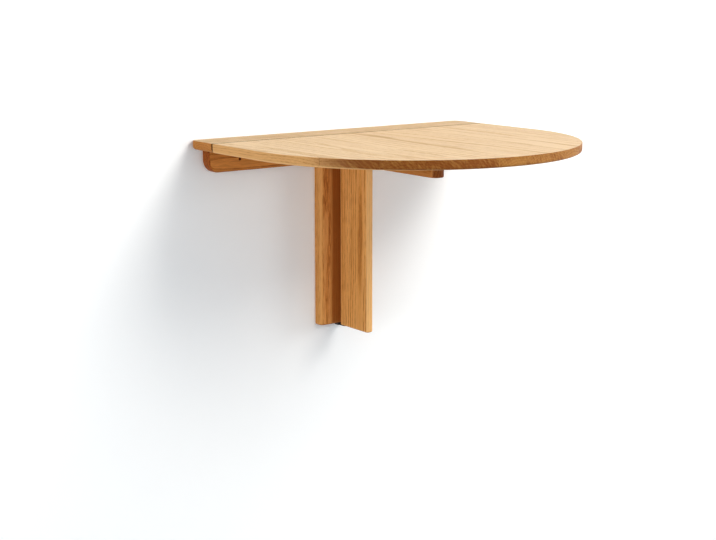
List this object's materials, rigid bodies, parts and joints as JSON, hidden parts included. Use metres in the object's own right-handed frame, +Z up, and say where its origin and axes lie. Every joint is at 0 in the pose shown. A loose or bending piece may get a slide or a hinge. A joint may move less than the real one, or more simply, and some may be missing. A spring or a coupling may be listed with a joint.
{
  "type": "wall mounted drop leaf table",
  "caption": "Wall mounted oak drop leaf table with a round-fronted leaf hinged to a fixed wall strip, held up by a swinging gate bracket on a wall post.",
  "frame": {"origin": "on the wall plane at mid width, midway between the two wall screw holes of the rail", "axes": "+X to the right along the wall seen from the room, +Y into the wall, +Z up"},
  "size_m": [0.8, 0.6779, 0.4853],
  "materials": {
    "oak_leaf": "oak with a clear matt oil finish",
    "oak_strip": "oak with a clear matt oil finish",
    "oak_frame": "oak with a clear matt oil finish",
    "oak_gate": "oak with a clear matt oil finish",
    "beech_dowel": "plain turned beech",
    "black_steel": "matt black coat",
    "hinge_steel": "zinc plated",
    "pin_steel": "bright turned",
    "screw_steel": "zinc plated",
    "bronze_bush": "sintered bronze",
    "felt": "pressed wool felt"
  },
  "bodies": {
    "wall_frame": {"wall_strip": "oak_strip", "wall_rail": "oak_frame", "wall_post": "oak_frame", "strip_dowels": "beech_dowel", "post_dowels": "beech_dowel", "upper_pivot_plate": "black_steel", "lower_pivot_plate": "black_steel", "upper_pivot_pin": "pin_steel", "lower_pivot_pin": "pin_steel", "upper_pivot_screws": "screw_steel", "lower_pivot_screws": "screw_steel", "strip_hinge_screws": "screw_steel", "left_hinge_fixed_flap": "hinge_steel", "left_hinge_pin": "pin_steel", "right_hinge_fixed_flap": "hinge_steel", "right_hinge_pin": "pin_steel"},
    "gate": {"gate_arm": "oak_gate", "gate_fin": "oak_gate", "arm_pad": "felt", "gate_dowels": "beech_dowel", "upper_pivot_bush": "bronze_bush", "lower_pivot_bush": "bronze_bush"},
    "leaf": {"drop_leaf": "oak_leaf", "leaf_hinge_screws": "screw_steel", "left_hinge_moving_flap": "hinge_steel", "right_hinge_moving_flap": "hinge_steel"}
  },
  "joints": [
    {"name": "gate_swing", "type": "hinge", "parent": "wall_frame", "child": "gate", "pos_m": [0.01, -0.0344, 0], "axis": [0, 0, -1], "range_deg": [0, 90]},
    {"name": "leaf_lift", "type": "hinge", "parent": "wall_frame", "child": "leaf", "pos_m": [0, -0.094, 0.028], "axis": [-1, 0, 0], "range_deg": [0, 10]}
  ]
}
